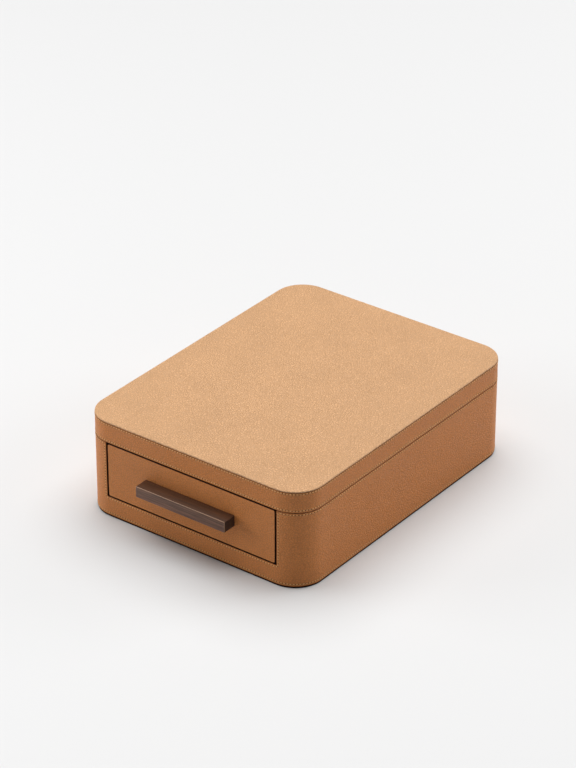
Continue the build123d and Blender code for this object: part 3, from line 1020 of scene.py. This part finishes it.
class JEWELBOX_OT_case_leather(bpy.types.Operator):
    """Cover the case: walls, turned-in rim and returns into the drawer opening"""

    bl_idname = "jewel_box.case_leather"
    bl_label = "Case leather"

    def execute(self, context):
        bm = plan_prism(case_low.z, case_high.z)
        bmesh.ops.delete(bm, geom=[level_face(bm, -1)], context="FACES_ONLY")
        rim = level_face(bm, 1)
        bmesh.ops.inset_region(bm, faces=[rim], thickness=RIM_WIDTH, use_even_offset=True)
        bmesh.ops.delete(bm, geom=[level_face_inside(bm, case_high.z)], context="FACES_ONLY")
        inner_face = -INNER_Y + NEAR

        def at_front(centre):
            return centre.y < inner_face

        for side in (-1, 1):
            cut_across(bm, (side * OPENING_HALF, 0, 0), (1, 0, 0), at_front)
        cut_across(bm, (0, 0, SILL_Z), (0, 0, 1), at_front)
        remove_faces(
            bm, lambda c: at_front(c) and abs(c.x) < OPENING_HALF and c.z > SILL_Z
        )
        mouth = [
            e
            for e in bm.edges
            if e.is_boundary
            and all(
                v.co.y < -HALF_Y + MOUTH_REACH
                and abs(v.co.x) < OPENING_HALF + NEAR
                and v.co.z > SILL_Z - NEAR
                for v in e.verts
            )
        ]
        grown = bmesh.ops.extrude_edge_only(bm, edges=mouth)["geom"]
        for vert in (g for g in grown if isinstance(g, bmesh.types.BMVert)):
            vert.co.y = -INNER_Y
        bmesh.ops.remove_doubles(bm, verts=bm.verts, dist=WELD)
        cut_hinge_pockets(bm, case_high.z, -1)
        face_outwards(bm)
        # Material 1 is painted shade on the opening's returns, where the drawer gap's shade falls;
        # 2 is the lit copy of the leather on the rim's level faces
        for face in bm.faces:
            centre = face.calc_center_bounds()
            painted = (
                centre.y < inner_face
                and abs(centre.x) < OPENING_HALF + NEAR
                and centre.z > SILL_Z - NEAR
                and abs(face.normal.y) < 0.5
            )
            if painted:
                face.material_index = 1
            elif abs(face.normal.z) > 0.9:
                face.material_index = 2
        give_thickness(bm)
        rows = (case_high.z - ROW_UNDER_RIM, case_low.z + ROW_OVER_BASE)
        # Painted shade at the seam under the rim and along the base
        leather = calf_leather(
            "case calf leather",
            colours().leather,
            rows,
            ((case_high.z, SEAM_SHADE_STRENGTH), (case_low.z, BASE_SHADE_STRENGTH)),
        )
        edge = plain_finish("painted gap shade of the opening", colours().gap_shade, 0.55)
        # The rim's level faces get the lit copy of the leather
        lit_rim_leather = calf_leather("lit copy of case rim calf leather", colours().top_leather)
        dress(
            "case_leather_skin",
            bm,
            [leather, edge, lit_rim_leather],
            "case",
            ["case_leather"],
            sizes().edge_radius,
            edge_slot=0,
        )
        return {"FINISHED"}


class JEWELBOX_OT_lid_leather(bpy.types.Operator):
    """Cover the lid: the band with its turned-in rim, and the top panel"""

    bl_idname = "jewel_box.lid_leather"
    bl_label = "Lid leather"

    def execute(self, context):
        bm = plan_prism(band_low.z, band_high.z)
        bmesh.ops.delete(bm, geom=[level_face(bm, 1)], context="FACES_ONLY")
        rim = level_face(bm, -1)
        bmesh.ops.inset_region(bm, faces=[rim], thickness=RIM_WIDTH, use_even_offset=True)
        bmesh.ops.delete(bm, geom=[level_face_inside(bm, band_low.z)], context="FACES_ONLY")
        cut_hinge_pockets(bm, band_low.z, 1)
        face_outwards(bm)
        # Level faces get the lit copy of the leather
        for face in bm.faces:
            face.material_index = 1 if abs(face.normal.z) > 0.9 else 0
        give_thickness(bm)
        rows = (top_high.z - ROW_UNDER_TOP, band_low.z + ROW_OVER_SEAM)
        # Painted shade at the seam and under the panel's edge
        edges = ((band_low.z, SEAM_SHADE_STRENGTH), (band_high.z, UNDER_PANEL_SHADE_STRENGTH))
        leather = calf_leather("lid calf leather", colours().leather, rows, edges)
        lit_rim_leather = calf_leather("lit copy of lid rim calf leather", colours().top_leather)
        dress(
            "lid_band_skin",
            bm,
            [leather, lit_rim_leather],
            "lid",
            ["lid_band_leather"],
            sizes().edge_radius,
            edge_slot=0,
        )
        panel = plan_prism(top_low.z, top_high.z)
        soft_edge = [
            e for e in panel.edges if all(v.co.z > top_high.z - NEAR for v in e.verts)
        ]
        bmesh.ops.bevel(
            panel,
            geom=soft_edge,
            offset=PANEL_EDGE,
            segments=5,
            profile=0.5,
            affect="EDGES",
            material=-1,
        )
        # The panel gets the lit copy of the leather, lighter and paler for the light from above
        top_leather = calf_leather(
            "lit copy of lid panel calf leather",
            colours().top_leather,
            # Painted shade along the panel's lower edge, at the crease
            shaded_edges=((top_low.z, PANEL_EDGE_SHADE_STRENGTH),),
            relief_depth=PANEL_RELIEF,
        )
        dress(
            "lid_top_skin",
            panel,
            [top_leather],
            "lid",
            ["lid_top_leather"],
            sizes().crease_radius,
        )
        return {"FINISHED"}


class JEWELBOX_OT_drawer_front_leather(bpy.types.Operator):
    """Cover the drawer front, turned over its four edges"""

    bl_idname = "jewel_box.drawer_front_leather"
    bl_label = "Drawer front leather"

    def execute(self, context):
        bm = bmesh.new()
        bmesh.ops.create_cube(bm, size=1)
        bmesh.ops.scale(bm, vec=front_high - front_low, verts=bm.verts)
        bmesh.ops.translate(bm, vec=(front_low + front_high) / 2, verts=bm.verts)
        along = [e for e in bm.edges if abs(e.verts[0].co.y - e.verts[1].co.y) > NEAR]
        bmesh.ops.bevel(
            bm,
            geom=along,
            offset=FRONT_CORNER,
            segments=6,
            profile=0.5,
            affect="EDGES",
            material=-1,
        )
        back = max(bm.faces, key=lambda face: face.normal.y)
        bmesh.ops.delete(bm, geom=[back], context="FACES_ONLY")
        bm.normal_update()
        # Every face but the front gets painted shade, for the dark of the gap round the drawer
        for face in bm.faces:
            face.material_index = 0 if face.normal.y < -0.5 else 1
        give_thickness(bm)
        leather = calf_leather("drawer front calf leather", colours().leather)
        edge = plain_finish("painted gap shade of the drawer front", colours().gap_shade, 0.55)
        dress(
            "drawer_front_skin",
            bm,
            [leather, edge],
            "drawer",
            ["drawer_front_leather"],
            sizes().edge_radius,
        )
        return {"FINISHED"}


class JEWELBOX_OT_stitching(bpy.types.Operator):
    """Sew the rows of stitches on the lid, on the case and round the opening"""

    bl_idname = "jewel_box.stitching"
    bl_label = "Stitching"

    def execute(self, context):
        materials = [
            linen_thread("waxed linen thread"),
            # The needle hole's finish is painted shade, on a flat dark disc
            plain_finish("needle hole", colours().needle_hole_shade, 0.9),
        ]
        stitch = stitch_mesh()
        rows = {
            "lid_top_stitches": ("lid", top_high.z - ROW_UNDER_TOP, False),
            "lid_rim_stitches": ("lid", band_low.z + ROW_OVER_SEAM, False),
            "case_rim_stitches": ("case", case_high.z - ROW_UNDER_RIM, True),
            "case_base_stitches": ("case", case_low.z + ROW_OVER_BASE, False),
        }
        for name, (body, height, skip_opening) in rows.items():
            bm = bmesh.new()
            sew_round(bm, stitch, height, skip_opening)
            dress(name, bm, materials, body)
        bm = bmesh.new()
        sew_opening(bm, stitch, case_high.z - ROW_UNDER_RIM)
        dress("opening_stitches", bm, materials, "case")
        bpy.data.meshes.remove(stitch)
        return {"FINISHED"}


class JEWELBOX_OT_woodwork(bpy.types.Operator):
    """Finish the walnut pull, the maple drawer box and the plywood carcass"""

    bl_idname = "jewel_box.woodwork"
    bl_label = "Woodwork"

    def execute(self, context):
        low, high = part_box("drawer_pull")
        pull = rounded_block(low, high, PULL_EDGE, 3)
        pull.normal_update()
        # Material 1 is the end grain, 2 a painted highlight on the front's rounded edges, 3 painted
        # shade on the top and bottom
        for face in pull.faces:
            if abs(face.normal.x) > 0.9:
                face.material_index = 1
            elif face.normal.y < -0.3 and abs(face.normal.y) < 0.95:
                face.material_index = 2
            elif abs(face.normal.z) > 0.95:
                face.material_index = 3
        walnut = timber("oiled walnut", colours().walnut, 0.9 * MM, 0.6, 0.5)
        end_grain = timber("walnut end grain", colours().pull_end, 0.8 * MM, 0.2, 0.6)
        # Painted highlight on the front's rounded edges
        painted_light = timber("walnut edge with painted highlight", colours().pull_edge_highlight, 1.1 * MM, 0.15, 0.4)
        # Painted shade on the pull's top and bottom
        shaded_walnut = timber("walnut with painted shade", colours().pull_side_shade, 1.2 * MM, 0.35, 0.5)
        dress(
            "walnut_pull",
            pull,
            [walnut, end_grain, painted_light, shaded_walnut],
            "drawer",
            ["drawer_pull"],
        )
        maple = timber("waxed maple", colours().maple, 2.5 * MM, 0.08, 0.45, (0.0, 1.0, 0.0))
        finish_nodes(
            [
                "drawer_side_left",
                "drawer_side_right",
                "drawer_bottom",
                "runner_left",
                "runner_right",
            ],
            maple,
        )
        maple_across = timber("waxed maple across", colours().maple, 2.5 * MM, 0.08, 0.45)
        finish_nodes(["drawer_back", "drawer_stop"], maple_across)
        board = timber("birch plywood", colours().board, 3.0 * MM, 0.10, 0.7)
        boards = [
            s["node"] for s in frame["record"]["subparts"] if s["material_slot"] == "carcass_board"
        ]
        finish_nodes(boards, board)
        return {"FINISHED"}


class JEWELBOX_OT_lining(bpy.types.Operator):
    """Line the tray, the drawer and the lid with suede"""

    bl_idname = "jewel_box.lining"
    bl_label = "Suede lining"

    def execute(self, context):
        suede = napped_suede("napped suede", colours().suede)
        soft = [f"ring_roll_{n + 1}" for n in range(ROLL_COUNT)] + ["lid_pad"]
        lined = [
            s["node"]
            for s in frame["record"]["subparts"]
            if s["material_slot"] == "suede_lining" and s["node"] not in soft
        ]
        finish_nodes(lined, suede)
        base = napped_suede("dark base suede", colours().base_suede, 0.0)
        finish_nodes(["base_pad", "drawer_bumpers"], base)
        low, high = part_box(soft[0])
        half = (high - low) / 2
        shrink = Vector((PAD_SHRINK, PAD_SHRINK, PAD_SHRINK))
        bm = rounded_block(shrink - half, half - shrink, ROLL_EDGE, 6)
        roll = bpy.data.meshes.new("ring roll")
        bm = swell(bm, ROLL_VOXEL, SWELL_REACH, -half, half)
        bm.to_mesh(roll)
        bm.free()
        for number, name in enumerate(soft[:-1]):
            low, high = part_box(name)
            bm = bmesh.new()
            bm.from_mesh(roll)
            turn = Matrix.Rotation(math.pi * (number % 2), 4, "Z")
            bm.transform(Matrix.Translation((low + high) / 2) @ turn)
            piece = dress(name + "_soft", bm, [suede], "case", [name])
        bpy.data.meshes.remove(roll)
        low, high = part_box("lid_pad")
        bm = padded_panel(low + shrink, high - shrink)
        bm = swell(bm, PAD_VOXEL, SWELL_REACH, low, high)
        piece = dress("lid_pad_soft", bm, [suede], "lid", ["lid_pad"])
        return {"FINISHED"}


class JEWELBOX_OT_hinges(bpy.types.Operator):
    """Finish the butt hinges and their pins, and make their slotted screws"""

    bl_idname = "jewel_box.hinges"
    bl_label = "Hinges"

    def execute(self, context):
        brass = brushed_brass("brushed brass", colours().brass)
        finish_nodes(
            [
                s["node"]
                for s in frame["record"]["subparts"]
                if s["material_slot"] in ("brass", "steel")
            ],
            brass,
        )
        screw_brass = brushed_brass("screw brass", colours().screw_brass)
        for name, body, down in (
            ("hinge_case_screws", "case", -1),
            ("hinge_lid_screws", "lid", 1),
        ):
            low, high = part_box(name)
            head = high.z if down < 0 else low.z
            y = (low.y + high.y) / 2
            radius = (high.y - low.y) / 2
            places = []
            for number, x in enumerate(
                (
                    low.x + radius,
                    low.x + radius + SCREW_SPACING,
                    high.x - radius - SCREW_SPACING,
                    high.x - radius,
                )
            ):
                turn = FIRST_SCREW_TURN + SCREW_TURN_STEP * number
                places.append((Vector((x, y, head)), turn))
            bm = slotted_screws(places, down, radius - NEAR, high.z - low.z)
            dress("slotted_" + name, bm, [screw_brass], body, [name])
        return {"FINISHED"}


class JEWELBOX_OT_stage(bpy.types.Operator):
    """Set the floor, the lights and the camera"""

    bl_idname = "jewel_box.stage"
    bl_label = "Stage"

    def execute(self, context):
        scene = context.scene
        scene.view_settings.view_transform = "Standard"
        bm = bmesh.new()
        bmesh.ops.create_grid(bm, x_segments=1, y_segments=1, size=FLOOR_REACH)
        mesh = bpy.data.meshes.new("floor")
        bm.to_mesh(mesh)
        bm.free()
        floor = bpy.data.objects.new("floor", mesh)
        scene.collection.objects.link(floor)
        material, tree, output, _ = new_material("matt floor")
        path = add_node(tree, "ShaderNodeLightPath")
        seen = add_node(
            tree,
            "ShaderNodeMath",
            {"operation": "MAXIMUM"},
            {0: path.outputs["Is Camera Ray"], 1: path.outputs["Is Glossy Ray"]},
        )
        paint = add_node(
            tree,
            "ShaderNodeMix",
            {"data_type": "RGBA"},
            {
                0: seen.outputs["Value"],
                6: tone(colours().floor, FLOOR_BOUNCE),
                7: tone(colours().floor, 1.0),
            },
        )
        surface = add_node(tree, "ShaderNodeBsdfDiffuse", inputs={"Color": paint.outputs[2]})
        tree.links.new(surface.outputs["BSDF"], output.inputs["Surface"])
        mesh.materials.append(material)

        world = bpy.data.worlds.new("studio")
        scene.world = world
        world.use_nodes = True
        world.node_tree.nodes["Background"].inputs["Color"].default_value = (1, 1, 1, 1)
        world.node_tree.nodes["Background"].inputs["Strength"].default_value = SKY
        sun = bpy.data.lights.new("roof daylight", "SUN")
        sun.energy = DAYLIGHT
        sun.angle = math.radians(DAYLIGHT_ANGLE)
        daylight = bpy.data.objects.new("roof daylight", sun)
        scene.collection.objects.link(daylight)
        daylight.rotation_mode = "QUATERNION"
        daylight.rotation_quaternion = Vector(DAYLIGHT_FROM).to_track_quat("Z", "Y")
        for name, size, power, place in LAMPS:
            lamp = bpy.data.lights.new(name, "AREA")
            lamp.shape = "SQUARE"
            lamp.size = size
            lamp.energy = power
            softbox = bpy.data.objects.new(name, lamp)
            scene.collection.objects.link(softbox)
            softbox.location = place
            softbox.rotation_mode = "QUATERNION"
            softbox.rotation_quaternion = (-softbox.location).to_track_quat("-Z", "Y")

        azimuth = math.radians(CAMERA_AZIMUTH)
        elevation = math.radians(CAMERA_ELEVATION)
        back = Vector(
            (
                math.sin(azimuth) * math.cos(elevation),
                -math.cos(azimuth) * math.cos(elevation),
                math.sin(elevation),
            )
        )
        camera = bpy.data.objects.new("camera", bpy.data.cameras.new("camera"))
        scene.collection.objects.link(camera)
        camera.data.lens = CAMERA_LENS
        camera.location = Vector(CAMERA_TARGET) + back * CAMERA_DISTANCE
        camera.rotation_mode = "QUATERNION"
        camera.rotation_quaternion = (-back).to_track_quat("-Z", "Y")
        scene.camera = camera
        return {"FINISHED"}


class JEWELBOX_PT_panel(bpy.types.Panel):
    """Lists the box's pieces and their sizes and colours"""

    bl_idname = "JEWELBOX_PT_panel"
    bl_label = "Jewellery box"
    bl_space_type = "VIEW_3D"
    bl_region_type = "UI"
    bl_category = "Jewellery box"

    def draw(self, context):
        for group in (sizes(), colours()):
            column = self.layout.column(align=True)
            for name in group.__annotations__:
                column.prop(group, name)
        for operator in OPERATORS:
            self.layout.operator(operator.bl_idname)


OPERATORS = (
    JEWELBOX_OT_case_leather,
    JEWELBOX_OT_lid_leather,
    JEWELBOX_OT_drawer_front_leather,
    JEWELBOX_OT_stitching,
    JEWELBOX_OT_woodwork,
    JEWELBOX_OT_lining,
    JEWELBOX_OT_hinges,
    JEWELBOX_OT_stage,
)
CLASSES = (JewelBoxSizes, JewelBoxColours) + OPERATORS + (JEWELBOX_PT_panel,)


def register():
    for cls in CLASSES:
        bpy.utils.register_class(cls)
    bpy.types.Scene.jewel_box_sizes = PointerProperty(type=JewelBoxSizes)
    bpy.types.Scene.jewel_box_colours = PointerProperty(type=JewelBoxColours)


def unregister():
    del bpy.types.Scene.jewel_box_colours
    del bpy.types.Scene.jewel_box_sizes
    for cls in reversed(CLASSES):
        bpy.utils.unregister_class(cls)


def main():
    register()
    bpy.ops.jewel_box.case_leather()
    bpy.ops.jewel_box.lid_leather()
    bpy.ops.jewel_box.drawer_front_leather()
    bpy.ops.jewel_box.stitching()
    bpy.ops.jewel_box.woodwork()
    bpy.ops.jewel_box.lining()
    bpy.ops.jewel_box.hinges()
    bpy.ops.jewel_box.stage()


if __name__ == "__main__":
    main()
